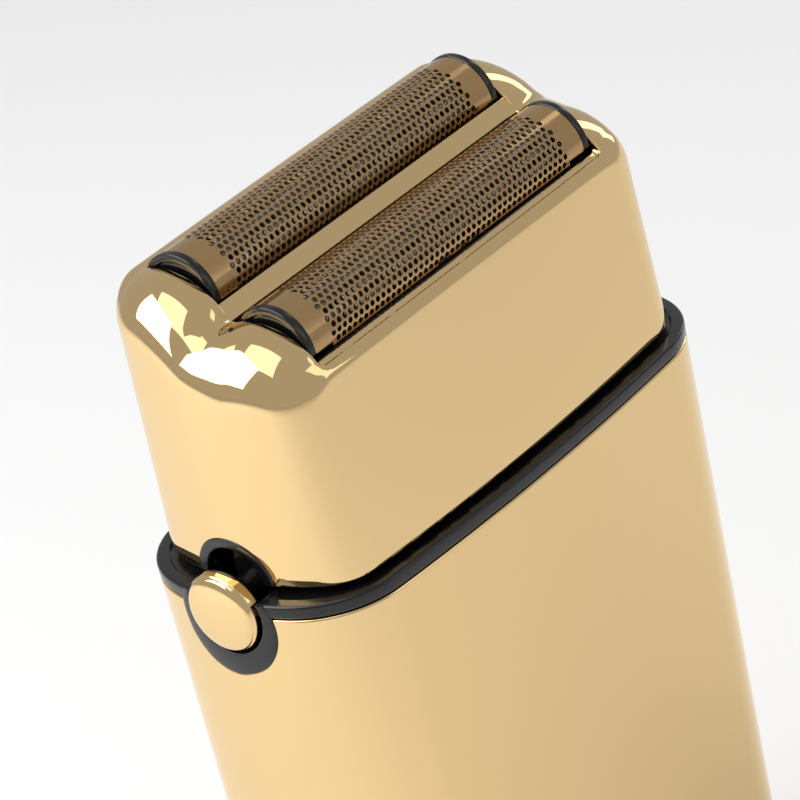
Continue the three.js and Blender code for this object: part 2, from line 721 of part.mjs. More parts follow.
add('body_sleeve', bodySleeve(), gold);
add('collar', collar(), blackPlastic);
add('bottom_cap', bottomCap(), blackPlastic);
[-1, 1].forEach((side, i) => add(`cap_screw_${i + 1}`, screw(side * capScrewX, 0, 0.15, false, 7), steel));
add('charging_socket', chargingSocket(), darkPlastic);
add('socket_pin', socketPin(), nickel);
add('battery_cell', batteryCell(), cellWrap);
add('battery_tab_bottom', batteryTab(8.2, 8.6), nickel);
add('battery_tab_top', batteryTab(58.4, 58.8), nickel);
add('circuit_board', circuitBoard(), boardGreen);
add('switch_body', switchBody(), steel);
add('power_slider', powerSlider(), gold);
add('slider_bezel', sliderBezel(), blackPlastic);
add('charge_light_lens', chargeLight(), lens);

add('chassis', chassis(), darkPlastic);
add('motor_can', motorCan(), steel);
add('motor_end_bell', motorEndBell(), whitePlastic);
add('motor_shaft', motorShaft(), steel);
[-1, 1].forEach((side, i) => add(
  `motor_screw_${i + 1}`,
  screw(side * motorScrewX, 0, shelfZ + shelfThick + gap + 1.1, true, 5.4, 1.9, 0.8),
  steel,
));
add('eccentric', eccentric(), brass);
add('eccentric_roller', eccentricRoller(), steel);

add('deck_plate', deckPlate(), blackPlastic);
add('deck_seal', deckSeal(), sealRubber);
deckCorners.forEach(([x, y], i) => add(`deck_screw_${i + 1}`, screw(x, y, deckTop + 0.2, true, 8.4), steel));

add('drive_bridge', driveBridge(), whitePlastic);
for (const drive of drives) {
  add(`cutter_spring_${drive.name}`, cutterSpring(drive), steel);
  add(`cutter_holder_${drive.name}`, cutterHolder(drive), darkPlastic);
  add(`cutter_blade_${drive.name}`, cutterBlade(drive), steel);
  add(`foil_cassette_${drive.name}`, foilCassette(drive), blackPlastic);
  add(`foil_${drive.name}`, foil(drive), foilGold);
}

add('head_housing', headHousing(), gold);
add('head_liner', headLiner(), blackPlastic);
for (const [name, side] of [['left', -1], ['right', 1]]) {
  add(`release_button_${name}`, releaseButton(side), gold);
  add(`button_spring_${name}`, buttonSpring(side), steel);
}

export default shaver;
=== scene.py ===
"""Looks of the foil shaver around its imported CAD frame. Lengths are millimetres until a mesh is made."""
import json
import math

import bmesh
import bpy
import numpy as np
from mathutils import Matrix, Vector


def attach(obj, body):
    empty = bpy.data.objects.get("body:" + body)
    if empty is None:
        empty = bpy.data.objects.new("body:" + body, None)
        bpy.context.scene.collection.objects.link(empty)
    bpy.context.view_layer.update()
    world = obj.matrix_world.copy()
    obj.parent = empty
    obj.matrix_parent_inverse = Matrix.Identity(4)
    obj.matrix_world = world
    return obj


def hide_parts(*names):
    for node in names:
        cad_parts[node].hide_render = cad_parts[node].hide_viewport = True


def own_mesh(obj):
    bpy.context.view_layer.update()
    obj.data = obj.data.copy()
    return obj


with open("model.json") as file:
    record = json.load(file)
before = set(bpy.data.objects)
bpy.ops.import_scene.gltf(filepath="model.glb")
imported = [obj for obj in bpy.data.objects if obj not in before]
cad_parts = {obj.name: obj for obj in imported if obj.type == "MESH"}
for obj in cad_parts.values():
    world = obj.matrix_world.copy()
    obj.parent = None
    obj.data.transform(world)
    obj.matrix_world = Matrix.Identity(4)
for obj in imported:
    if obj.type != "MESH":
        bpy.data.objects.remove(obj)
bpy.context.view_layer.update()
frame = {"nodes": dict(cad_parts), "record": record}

MM = 0.001
SEAT_Z = 80.0

# ---------------------------------------------------------------- driving dimensions, as in the CAD
BODY = dict(half_length=31.0, half_thickness=14.5, face_radius=284.0, end_radius=22.5, corner_radius=9.4)
BODY_TAPER = 0.0005
COLLAR_THICK = 1.4

HEAD_BASE = dict(half_length=28.5, half_thickness=12.9, face_radius=284.0, end_radius=22.0, corner_radius=5.5)
HEAD_BASE_Z = SEAT_Z + 0.6
SLANT = math.radians(20.9)
AXIS_Y = 0.25
AXIS_Z = SEAT_Z + 23.3
HEAD_END_HALF = 27.7
FRONT_WALL = -11.65
REAR_WALL = 12.1
FRONT_RIM = -10.95
REAR_RIM = 9.9
FRONT_RIM_HEIGHT = 1.0
REAR_RIM_HEIGHT = 0.5
HUMP_RADIUS = 7.9
HUMP_HEIGHT = 2.75
HUMP_SHIFT = -0.7
VALLEY_SOFT = 1.0
ROLL_SOFT = 6.0
OPENING_HALF = 21.5
OPENING_CORNER = 0.6
LEDGE_WIDTH = 0.75
LEDGE_DROP = 0.5

FOIL_SPACING = 10.9
FOIL_RADIUS = 4.2
FOIL_HALF = 20.3
FOIL_THICK = 0.1
FOIL_SPREAD = math.radians(76.5)
CAP_RADIUS = 4.3
CAP_WIDTH = 0.85
CAP_SPREAD = math.radians(69)
BLADE_RADIUS = 3.85
BLADE_HALF = 18.0
BLADE_PITCH = 0.75
HOLE_PITCH = 0.797
HOLE_ROWS = 16
HOLES_IN_ROW = 44
HOLE_RADIUS = 0.292

BUTTON_RADIUS = 4.0
BUTTON_Z = SEAT_Z - 1.5
RING_RADIUS = 5.6
RING_Z = SEAT_Z - 2.55
ARCH_RADIUS = 4.4
ARCH_Z = SEAT_Z + 0.35
BUTTON_FACE = 31.9
BUTTON_BACK = 29.6

SLEEVE_WALL = 1.2
SLEEVE_BOTTOM = 1.0
CAP_SCREW_X = 17.0
SOCKET_RADIUS = 4.4
SWITCH_Z = 24.0
SLIDER_TRAVEL = 3.0
FACE_Y = -14.1
DECK_TOP = SEAT_Z + 0.2
DECK_CORNERS = [(-17.5, -4.6), (17.5, -4.6), (-17.5, 4.6), (17.5, 4.6)]
BRIDGE_BOTTOM = SEAT_Z + 3.0
BRIDGE_TOP = SEAT_Z + 6.0
HOLDER_DROP = 3.2
POST_Y = dict(front=-5.2, rear=5.9)
FOIL_ACROSS = dict(front=-FOIL_SPACING / 2, rear=FOIL_SPACING / 2)
CASSETTE_RAILS = dict(front=[(-9.9, -9.35), (-1.7, -1.1)], rear=[(8.8, 9.4)])


# ---------------------------------------------------------------- mesh helpers
def make_object(name, verts, faces, sharp=35.0):
    """A mesh object from millimetre points, smooth except across edges sharper than the angle."""
    mesh = bpy.data.meshes.new(name)
    mesh.from_pydata((np.asarray(verts, float) * MM).tolist(), [], [tuple(int(i) for i in f) for f in faces])
    mesh.validate()
    mesh.polygons.foreach_set("use_smooth", [True] * len(mesh.polygons))
    mesh.set_sharp_from_angle(angle=math.radians(sharp))
    obj = bpy.data.objects.new(name, mesh)
    bpy.context.scene.collection.objects.link(obj)
    return obj


def fix_normals(obj):
    work = bmesh.new()
    work.from_mesh(obj.data)
    bmesh.ops.recalc_face_normals(work, faces=work.faces)
    work.to_mesh(obj.data)
    work.free()


def grid_faces(rows, cols, close_rows=False, close_cols=True):
    faces = []
    for r in range(rows if close_rows else rows - 1):
        below, above = r * cols, ((r + 1) % rows) * cols
        for c in range(cols if close_cols else cols - 1):
            d = (c + 1) % cols
            faces.append((below + c, below + d, above + d, above + c))
    return faces


def loft(name, rings, closed=False, caps=(False, False), sharp=35.0):
    """Skin through matching rings; the ends are capped, open, or joined to each other."""
    rings = [np.asarray(r, float) for r in rings]
    cols = len(rings[0])
    faces = grid_faces(len(rings), cols, close_rows=closed)
    if caps[0]:
        faces.append(tuple(range(cols))[::-1])
    if caps[1]:
        start = (len(rings) - 1) * cols
        faces.append(tuple(range(start, start + cols)))
    obj = make_object(name, np.vstack(rings), faces, sharp)
    return obj


def lathe(name, profile, centre, axis="z", sides=64, sharp=35.0):
    """Solid of revolution from (radius, distance along the axis) pairs; both ends are capped."""
    turn = np.linspace(0, 2 * math.pi, sides, endpoint=False)
    rings = []
    for radius, height in profile:
        a, b, c = radius * np.cos(turn), radius * np.sin(turn), np.full(sides, height)
        ring = np.c_[a, b, c] if axis == "z" else np.c_[c, a, b]
        rings.append(ring + np.array(centre, float))
    obj = loft(name, rings, caps=(True, True), sharp=sharp)
    fix_normals(obj)
    return obj


def tube(name, inner, outer, low, high, centre=(0, 0, 0), axis="z", edge=0.12, sides=64):
    """A ring about the axis with rounded edges."""
    section = rounded_loop([(inner, low), (outer, low), (outer, high), (inner, high)], edge, 4)
    turn = np.linspace(0, 2 * math.pi, sides, endpoint=False)
    rings = []
    for radius, height in section:
        a, b, c = radius * np.cos(turn), radius * np.sin(turn), np.full(sides, height)
        ring = np.c_[a, b, c] if axis == "z" else np.c_[c, a, b]
        rings.append(ring + np.array(centre, float))
    obj = loft(name, rings, closed=True, sharp=30)
    fix_normals(obj)
    return obj


def rounded_profile(points, radii, steps=5):
    """Replaces each corner of an open path by an arc-like curve of the given radius."""
    out = []
    count = len(points)
    for i, (point, radius) in enumerate(zip(points, radii)):
        here = np.array(point, float)
        if i in (0, count - 1) or radius <= 0:
            out.append(tuple(here))
            continue
        before = np.array(points[i - 1], float) - here
        after = np.array(points[i + 1], float) - here
        cut = min(radius, 0.49 * np.linalg.norm(before), 0.49 * np.linalg.norm(after))
        start = here + before / np.linalg.norm(before) * cut
        end = here + after / np.linalg.norm(after) * cut
        for t in np.linspace(0, 1, steps):
            out.append(tuple((1 - t) ** 2 * start + 2 * t * (1 - t) * here + t ** 2 * end))
    return out


def rounded_loop(points, radius, steps=5):
    """A closed path with every corner rounded."""
    out = []
    count = len(points)
    for i in range(count):
        here = np.array(points[i], float)
        before = np.array(points[i - 1], float) - here
        after = np.array(points[(i + 1) % count], float) - here
        cut = min(radius, 0.49 * np.linalg.norm(before), 0.49 * np.linalg.norm(after))
        start = here + before / np.linalg.norm(before) * cut
        end = here + after / np.linalg.norm(after) * cut
        for t in np.linspace(0, 1, steps):
            out.append((1 - t) ** 2 * start + 2 * t * (1 - t) * here + t ** 2 * end)
    return np.array(out)


def block(name, low, high, edge=0.3, steps=3, slanted=False):
    """A box with rounded edges, square to the axes or to the slanted top of the head."""
    work = bmesh.new()
    bmesh.ops.create_cube(work, size=1.0)
    low, high = np.array(low, float), np.array(high, float)
    for v in work.verts:
        v.co = Vector((low + high) / 2 + np.array(v.co) * (high - low))
    bmesh.ops.bevel(work, geom=list(work.edges), offset=edge, segments=steps, profile=0.5, affect="EDGES")
    for v in work.verts:
        v.co = (slant_points(*v.co) if slanted else np.array(v.co)) * MM
    mesh = bpy.data.meshes.new(name)
    work.to_mesh(mesh)
    work.free()
    mesh.polygons.foreach_set("use_smooth", [True] * len(mesh.polygons))
    mesh.set_sharp_from_angle(angle=math.radians(40))
    obj = bpy.data.objects.new(name, mesh)
    bpy.context.scene.collection.objects.link(obj)
    return obj


def merge(name, *parts):
    """Joins loose meshes into one object."""
    work = bmesh.new()
    for part in parts:
        work.from_mesh(part.data)
        bpy.data.objects.remove(part, do_unlink=True)
    mesh = bpy.data.meshes.new(name)
    work.to_mesh(mesh)
    work.free()
    mesh.polygons.foreach_set("use_smooth", [True] * len(mesh.polygons))
    mesh.set_sharp_from_angle(angle=math.radians(35))
    obj = bpy.data.objects.new(name, mesh)
    bpy.context.scene.collection.objects.link(obj)
    return obj


def coil(name, centre, low, high, radius, wire, turns, axis="z"):
    """A wound compression spring with its end turns closed up flat."""
    steps = int(turns * 28)
    share = np.linspace(0, 1, steps)
    angle = share * turns * 2 * math.pi
    closed = 1.15 / turns
    rise = np.interp(share, [0, closed, 1 - closed, 1],
                     [0, 2.1 * wire, high - low - 4.1 * wire, high - low - 2 * wire])
    path = np.c_[radius * np.cos(angle), radius * np.sin(angle), low + wire + rise]
    ahead = np.gradient(path, axis=0)
    ahead /= np.linalg.norm(ahead, axis=1)[:, None]
    out = np.c_[np.cos(angle), np.sin(angle), np.zeros(steps)]
    up = np.cross(ahead, out)
    rings = []
    for point, o, u in zip(path, out, up):
        turns_round = np.linspace(0, 2 * math.pi, 8, endpoint=False)
        ring = [point + wire * (math.cos(t) * o + math.sin(t) * u) for t in turns_round]
        ring = np.array(ring)
        rings.append((ring if axis == "z" else ring[:, [2, 0, 1]]) + np.array(centre, float))
    obj = loft(name, rings, caps=(True, True), sharp=50)
    fix_normals(obj)
    return obj


def cross_screw(name, x, y, head_z, up, length, head_radius=2.4, shank_radius=1.0):
    """A pan-head screw with a cross recess; up says which way its head looks."""
    way = -1 if up else 1
    points = [(0.02, 0.0), (head_radius - 0.5, 0.0), (head_radius, 0.5), (head_radius, 1.1), (shank_radius, 1.1)]
    profile = rounded_profile(points, [0, 0.45, 0.4, 0.1, 0], 5)
    steps = int((length - 1.6) / 0.4)
    for i in range(steps):
        profile.append((shank_radius - (0.22 if i % 2 else 0.0), 1.4 + i * 0.4))
    profile += [(shank_radius * 0.55, length - 0.1), (0.02, length)]
    screw = lathe(name, [(r, head_z + way * h) for r, h in profile], (x, y, 0), sides=40)
    depth = sorted((head_z - way, head_z + way * 0.6))
    arms = [(1.35, 0.3), (0.3, 1.35)]
    tools = [block("arm", (x - a, y - b, depth[0]), (x + a, y + b, depth[1]), 0.08, 2) for a, b in arms]
    return cut_away(screw, *tools)


def rod_cutter(radius, x0, x1, z, sides=128):
    turn = np.linspace(0, 2 * math.pi, sides, endpoint=False)
    rings = [np.c_[np.full(sides, x), radius * np.cos(turn), z + radius * np.sin(turn)] for x in (x0, x1)]
    obj = loft("cutter", rings, caps=(True, True))
    fix_normals(obj)
    return obj


def post_cutter(radius, z0, z1, x, y, sides=64):
    obj = lathe("cutter", [(radius, z0), (radius, z1)], (x, y, 0), sides=sides)
    return obj


def cut_away(obj, *tools, mapping="POLYINTERP_NEAREST"):
    """Subtracts the tools, keeping the surface normals of the uncut shape."""
    reference = obj.copy()
    reference.data = obj.data.copy()
    bpy.context.scene.collection.objects.link(reference)
    for tool in tools:
        change = obj.modifiers.new("cut", "BOOLEAN")
        change.operation = "DIFFERENCE"
        change.solver = "EXACT"
        change.object = tool
    copied = obj.modifiers.new("normals", "DATA_TRANSFER")
    copied.object = reference
    copied.use_loop_data = True
    copied.data_types_loops = {"CUSTOM_NORMAL"}
    copied.loop_mapping = mapping
    copied.use_max_distance = True
    copied.max_distance = 0.00002
    bpy.context.view_layer.update()
    done = bpy.data.meshes.new_from_object(obj.evaluated_get(bpy.context.evaluated_depsgraph_get()))
    obj.modifiers.clear()
    obj.data = done
    for tool in (reference, *tools):
        bpy.data.objects.remove(tool, do_unlink=True)
    return obj


# ---------------------------------------------------------------- outlines and the slanted head frame
def outline(half_length, half_thickness, face_radius, end_radius, corner_radius, steps=(24, 28, 20)):
    """Crowned rounded rectangle from tangent arcs, counter-clockwise from (half_length, 0)."""
    face_c = np.array([0.0, half_thickness - face_radius])
    end_c = np.array([half_length - end_radius, 0.0])
    apart = np.linalg.norm(end_c - face_c)
    r1, r2 = face_radius - corner_radius, end_radius - corner_radius
    along = (apart ** 2 + r1 ** 2 - r2 ** 2) / (2 * apart)
    aside = math.sqrt(max(r1 ** 2 - along ** 2, 0))
    ux, uy = (end_c - face_c) / apart
    centre = face_c + np.array([ux * along + uy * aside, uy * along - ux * aside])
    face_a = math.atan2(*(centre - face_c)[::-1])
    end_a = math.atan2(*(centre - end_c)[::-1])

    def arc(c, r, a0, a1, n):
        t = np.linspace(a0, a1, n, endpoint=False)
        return np.c_[c[0] + r * np.cos(t), c[1] + r * np.sin(t)]

    quarter = np.vstack([
        arc(end_c, end_radius, 0, end_a, steps[2]),
        arc(centre, corner_radius, end_a, face_a, steps[1]),
        arc(face_c, face_radius, face_a, math.pi / 2, steps[0]),
    ])
    upper = np.vstack([quarter, [[0, half_thickness]], quarter[:0:-1] * [-1, 1]])
    return np.vstack([upper, [[-half_length, 0]], upper[:0:-1] * [1, -1]])


def at_height(points, z):
    return np.c_[points, np.full(len(points), z)]


def inset_ring(ring, distance, drop=0.0):
    """Moves each point square to its ring, inwards in plan."""
    ahead, behind = np.roll(ring, -1, axis=0), np.roll(ring, 1, axis=0)
    along = (ahead - behind)[:, :2]
    along /= np.linalg.norm(along, axis=1)[:, None]
    moved = ring.copy()
    moved[:, 0] -= along[:, 1] * distance
    moved[:, 1] += along[:, 0] * distance
    moved[:, 2] -= drop
    return moved


def slant_points(x, v, w):
    """World points from (along the foils, across the slant, square to the slant)."""
    x, v, w = np.broadcast_arrays(np.asarray(x, float), np.asarray(v, float), np.asarray(w, float))
    y = AXIS_Y + v * math.cos(SLANT) - w * math.sin(SLANT)
    z = AXIS_Z + v * math.sin(SLANT) + w * math.cos(SLANT)
    return np.stack([x, y, z], axis=-1)


def smooth_max(a, b, soft):
    h = np.clip(0.5 + 0.5 * (a - b) / soft, 0, 1)
    return b * (1 - h) + a * h + soft * h * (1 - h)


def top_edge(v, soft=VALLEY_SOFT):
    """Height of the opening's edge across the slant: a hump by each foil, a dip between them."""
    humps = []
    for centre in (HUMP_SHIFT - FOIL_SPACING / 2, HUMP_SHIFT + FOIL_SPACING / 2):
        from_centre = np.minimum(np.abs(v - centre), HUMP_RADIUS * 0.98)
        humps.append(HUMP_HEIGHT - HUMP_RADIUS + np.sqrt(HUMP_RADIUS ** 2 - from_centre ** 2))
    rim = np.interp(v, [FRONT_RIM, REAR_RIM], [FRONT_RIM_HEIGHT, REAR_RIM_HEIGHT])
    return smooth_max(smooth_max(humps[0], humps[1], soft), rim, 0.3)


def slant_ring(half_length, front, rear, corner_radius, end_radius, drop=0.0, soft=VALLEY_SOFT):
    """A ring in the slanted top, lowered square to the slant by drop, which may differ from point to point."""
    section = outline(half_length, (rear - front) / 2, 6000.0, end_radius, corner_radius)
    v = section[:, 1] + (rear + front) / 2
    return slant_points(section[:, 0], v, top_edge(v, soft) - drop)


def body_ring(z, inset=0.0):
    """The body's outline at a height, narrowed by its taper and moved inwards."""
    scale = 1 - BODY_TAPER * (SEAT_Z - z)
    return inset_ring(at_height(outline(**BODY) * scale, z), inset)


# ---------------------------------------------------------------- head housing
def bezier(a, b, c, d, t):
    s = 1 - t
    return a * s ** 3 + 3 * b * s * s * t + 3 * c * s * t * t + d * t ** 3


WALL_TOP = slant_ring(HEAD_END_HALF, FRONT_WALL, REAR_WALL, 5.5, 30.0, soft=ROLL_SOFT)
OPENING = slant_ring(OPENING_HALF, FRONT_RIM, REAR_RIM, OPENING_CORNER, 400.0)
WALL_BASE = at_height(outline(**HEAD_BASE), HEAD_BASE_Z)


def roll_start():
    reach = np.hypot(*(WALL_TOP - OPENING)[:, :2].T)
    window = np.hanning(15)
    reach = np.convolve(np.r_[reach[-7:], reach, reach[:7]], window / window.sum(), "valid")
    down = WALL_BASE - WALL_TOP
    down /= np.linalg.norm(down, axis=1)[:, None]
    return WALL_TOP + down * (reach * 0.92)[:, None]


def head_housing():
    pull = 0.5523
    start = roll_start()
    rings = [inset_ring(WALL_BASE, 0.25), WALL_BASE + [0, 0, 0.06], WALL_BASE + [0, 0, 0.2]]
    for share in np.linspace(0, 1, 26)[1:]:
        base = WALL_BASE + [0, 0, 0.2]
        rings.append(base + (start - base) * share)
    lower_pull = start + (WALL_TOP - start) * pull
    upper_pull = OPENING + (WALL_TOP - OPENING) * pull
    for t in np.linspace(0, 1, 22)[1:]:
        rings.append(bezier(start, lower_pull, upper_pull, OPENING, t))
    lip = 0.14
    for angle in np.linspace(0, math.pi / 2, 6)[1:]:
        inset = lip * math.sin(angle)
        edge = (OPENING_HALF - inset, FRONT_RIM + inset, REAR_RIM - inset)
        rings.append(slant_ring(*edge, OPENING_CORNER, 400.0, drop=lip * (1 - math.cos(angle))))
    ledge = FRONT_RIM + lip + LEDGE_WIDTH
    inner = (OPENING_HALF - lip, ledge, REAR_RIM - lip, OPENING_CORNER, 400.0)
    for share in (0.15, 0.85, 1.0):
        front = FRONT_RIM + lip + LEDGE_WIDTH * share
        edge = (OPENING_HALF - lip, front, REAR_RIM - lip)
        rings.append(slant_ring(*edge, OPENING_CORNER, 400.0, drop=lip + LEDGE_DROP * share))
    rings.append(slant_ring(*inner, drop=1.25))
    rings.append(slant_ring(OPENING_HALF, FRONT_RIM + 0.3, REAR_RIM, OPENING_CORNER, 400.0, drop=1.4))
    rings.append(inset_ring(start, 0.75, 1.2))
    rings.append(inset_ring(WALL_BASE, 1.2, 0))
    shell = loft("head_shell", rings, closed=True, sharp=50)
    fix_normals(shell)
    cutters = [rod_cutter(ARCH_RADIUS, -34, -18, ARCH_Z), rod_cutter(ARCH_RADIUS, 18, 34, ARCH_Z)]
    return cut_away(shell, *cutters)


def slant_bar(name, x_half, section):
    """A bar along the foils with the given closed section of (across, up) points."""
    section = np.asarray(section, float)
    rings = [slant_points(x, section[:, 0], section[:, 1]) for x in np.linspace(-x_half, x_half, 9)]
    obj = loft(name, rings, caps=(True, True), sharp=30)
    fix_normals(obj)
    return obj


def centre_bar():
    profile = rounded_loop([(-0.7, 0.8), (0.0, 1.2), (1.15, 1.6), (1.15, 0.1), (-0.7, 0.1)], 0.12, 5)
    return slant_bar("centre_bar", OPENING_HALF + 0.15, profile)


# ---------------------------------------------------------------- foils
def foil_point(across, x, length, radius):
    angle = length / FOIL_RADIUS
    return slant_points(x, across + radius * np.sin(angle), radius * np.cos(angle))


def foil_sheet(name, across):
    """The etched sheet: staggered round holes in a plain border, with real thickness."""
    row_height = HOLE_PITCH * math.sqrt(3) / 2
    flat, polys, index = [], [], {}

    def corner(x, s):
        key = (round(x, 4), round(s, 4))
        if key not in index:
            index[key] = len(flat)
            flat.append(key)
        return index[key]

    holes = []
    half_step = HOLE_PITCH / 2
    columns = HOLES_IN_ROW + 1
    left = -columns * HOLE_PITCH / 2
    for row in range(HOLE_ROWS):
        s0 = (row - HOLE_ROWS / 2) * row_height
        s1 = s0 + row_height
        indented = row % 2 == 0
        first = left + (half_step if indented else 0)
        count = HOLES_IN_ROW if indented else columns
        for k in range(count):
            x0 = first + k * HOLE_PITCH
            rim = [corner(x0, s0), corner(x0 + half_step, s0), corner(x0 + HOLE_PITCH, s0),
                   corner(x0 + HOLE_PITCH, (s0 + s1) / 2), corner(x0 + HOLE_PITCH, s1),
                   corner(x0 + half_step, s1), corner(x0, s1), corner(x0, (s0 + s1) / 2)]
            ring = []
            for j in range(16):
                turn = -3 * math.pi / 4 + j * math.pi / 8
                reach = HOLE_RADIUS * (1 - 0.05 * math.cos(6 * turn))
                ring.append(len(flat))
                flat.append((x0 + half_step + reach * math.cos(turn), (s0 + s1) / 2 + reach * math.sin(turn)))
            for j in range(8):
                a, b = rim[j], rim[(j + 1) % 8]
                c = [ring[(2 * j + m) % 16] for m in (2, 1, 0)]
                polys.append([a, b, *c])
            holes.append(ring)
        if indented:
            for x0, x1 in ((left, left + half_step), (-left - half_step, -left)):
                polys.append([corner(x0, s0), corner(x1, s0), corner(x1, (s0 + s1) / 2), corner(x1, s1),
                              corner(x0, s1), corner(x0, (s0 + s1) / 2)])
    stop = HOLE_ROWS / 2 * row_height
    spread = FOIL_SPREAD * FOIL_RADIUS
    lows = sorted({round(s, 4) for _, s in index if abs(s) <= stop + 1e-6})
    for side in (-1, 1):
        xs = np.linspace(side * -left, side * FOIL_HALF, 7)
        for a, b in zip(xs[:-1], xs[1:]):
            for s0, s1 in zip(lows[:-1], lows[1:]):
                quad = [corner(a, s0), corner(b, s0), corner(b, s1), corner(a, s1)]
                polys.append(quad if side > 0 else quad[::-1])
    edge_x = sorted({x for x, s in index if abs(abs(s) - stop) < 1e-3})
    for side in (-1, 1):
        levels = np.linspace(side * stop, side * spread, 3)
        for s0, s1 in zip(levels[:-1], levels[1:]):
            for a, b in zip(edge_x[:-1], edge_x[1:]):
                quad = [corner(a, s0), corner(b, s0), corner(b, s1), corner(a, s1)]
                polys.append(quad if side > 0 else quad[::-1])
    flat = np.array(flat)
    outer = foil_point(across, flat[:, 0], flat[:, 1], FOIL_RADIUS)
    inner = foil_point(across, flat[:, 0], flat[:, 1], FOIL_RADIUS - FOIL_THICK)
    total = len(flat)
    faces = [tuple(p) for p in polys] + [tuple(i + total for i in reversed(p)) for p in polys]
    for ring in holes:
        for j in range(16):
            a, b = ring[j], ring[(j + 1) % 16]
            faces.append((b, a, a + total, b + total))
    obj = make_object(name, np.vstack([outer, inner]), faces, sharp=40)
    work = bmesh.new()
    work.from_mesh(obj.data)
    rim_edges = [e for e in work.edges if e.is_boundary]
    bmesh.ops.bridge_loops(work, edges=rim_edges)
    bmesh.ops.recalc_face_normals(work, faces=work.faces)
    work.to_mesh(obj.data)
    work.free()
    obj.data.polygons.foreach_set("use_smooth", [True] * len(obj.data.polygons))
    obj.data.set_sharp_from_angle(angle=math.radians(40))
    return obj


def arch_band(name, across, x0, x1, inner, outer, spread, edge=0.15, steps=40):
    """A band bent over the foil axis: rectangular section with rounded edges."""
    section = rounded_loop([(x0, inner), (x1, inner), (x1, outer), (x0, outer)], edge, 4)
    rings = []
    for angle in np.linspace(-spread, spread, steps):
        v = across + section[:, 1] * math.sin(angle)
        rings.append(slant_points(section[:, 0], v, section[:, 1] * math.cos(angle)))
    obj = loft(name, rings, caps=(True, True), sharp=30)
    fix_normals(obj)
    return obj


def cap_face(name, across, side, radius, spread, floor):
    """The sunk face of a cassette's end: a D-shaped plate that dishes inwards towards its foot."""
    near, far = FOIL_HALF + 0.05, FOIL_HALF + CAP_WIDTH
    steps = [(0.0, near), (1.0, near), (1.0, far - 0.4), (0.9, far - 0.25), (0.45, far - 0.5), (0.0, far - 0.65)]
    rows = []
    for share, x in steps:
        ring = []
        for angle in np.linspace(-spread, spread, 33):
            w = floor + (radius * math.cos(angle) - floor) * share
            ring.append((across + radius * share * math.sin(angle), w))
        for v in np.linspace(radius * math.sin(spread), -radius * math.sin(spread), 12)[1:-1]:
            ring.append((across + v * share, floor + (radius * math.cos(spread) - floor) * share * 0.02))
        ring = np.array(ring)
        rows.append(slant_points(side * x, ring[:, 0], ring[:, 1]))
    obj = loft(name, rows, sharp=35)
    fix_normals(obj)
    return obj


def cassette_end(tag, side, end):
    across = FOIL_ACROSS[tag]
    x0, x1 = sorted((side * (FOIL_HALF + 0.05), side * (FOIL_HALF + CAP_WIDTH)))
    rim = arch_band(f"cap_rim_{tag}_{end}", across, x0, x1, CAP_RADIUS - 0.75, CAP_RADIUS, CAP_SPREAD, 0.2)
    face = cap_face(f"cap_face_{tag}_{end}", across, side, CAP_RADIUS - 0.7, CAP_SPREAD, 0.2)
    return rim, face


def cassette_rails(tag):
    ends = FOIL_HALF + CAP_WIDTH - 0.1
    rails = [block("rail", (-ends, low, 0.0), (ends, high, 0.7), 0.1, 2, True)
             for low, high in CASSETTE_RAILS[tag]]
    return merge(f"cassette_rails_{tag}", *rails)


# ---------------------------------------------------------------- cutters and their drive
def holder_floor(tag):
    return slant_points(0, FOIL_ACROSS[tag], 0)[2] - HOLDER_DROP


def cutter_blade(tag):
    """A stack of thin arched lamellae on a spine."""
    across = FOIL_ACROSS[tag]
    spread = math.radians(62)
    sheets = []
    for x in np.arange(-BLADE_HALF, BLADE_HALF + 0.01, BLADE_PITCH):
        sheets.append(arch_band("lamella", across, x - 0.14, x + 0.14, 2.75, BLADE_RADIUS, spread, 0.03, 22))
    spine = block("spine", (-BLADE_HALF, across - 0.6, 2.1), (BLADE_HALF, across + 0.6, 2.9), 0.1, 2, True)
    return merge(f"cutter_blade_visual_{tag}", *sheets, spine)


def cutter_holder(tag):
    across, low, post = FOIL_ACROSS[tag], holder_floor(tag), POST_Y[tag]
    core = block("core", (-16, across - 1.6, -2.8), (16, across + 1.6, 1.6), 0.4, 4, True)
    ribs = [block("rib", (x - 0.4, across - 1.8, -2.4), (x + 0.4, across + 1.8, 1.3), 0.15, 2, True)
            for x in (-12, -8, -4, 4, 8, 12)]
    pad = block("pad", (-4, post - 2.1, low), (4, post + 2.1, low + 2.4), 0.4, 3)
    return merge(f"cutter_holder_visual_{tag}", core, *ribs, pad)


def drive_bridge():
    plate = block("drive_bridge_visual", (-14, -7.6, BRIDGE_BOTTOM), (14, 9.1, BRIDGE_TOP), 0.6, 4)
    slot = block("slot", (-4.7, -3.5, BRIDGE_BOTTOM - 2), (4.7, 3.5, BRIDGE_TOP + 2), 1.0, 4)
    windows = [block("window", (x, -2, BRIDGE_BOTTOM - 2), (x + 5, 4, BRIDGE_TOP + 2), 0.8, 4)
               for x in (-11.6, 6.6)]
    return cut_away(plate, slot, *windows)


def bridge_post(tag):
    low, high = BRIDGE_TOP - 0.1, holder_floor(tag) + 1.4
    profile = rounded_profile([(0.02, low), (1.9, low), (1.0, low + 1.0), (1.0, high), (0.02, high)],
                              [0, 0, 0.7, 0.35, 0], 6)
    return lathe(f"bridge_post_{tag}", profile, (0, POST_Y[tag], 0), sides=40)


def cutter_spring(tag):
    low, high = BRIDGE_TOP + 0.3, holder_floor(tag) - 0.3
    spring = coil(f"cutter_coil_{tag}", (0, POST_Y[tag], 0), low, high, 1.8, 0.27, 8)
    return spring, low, high


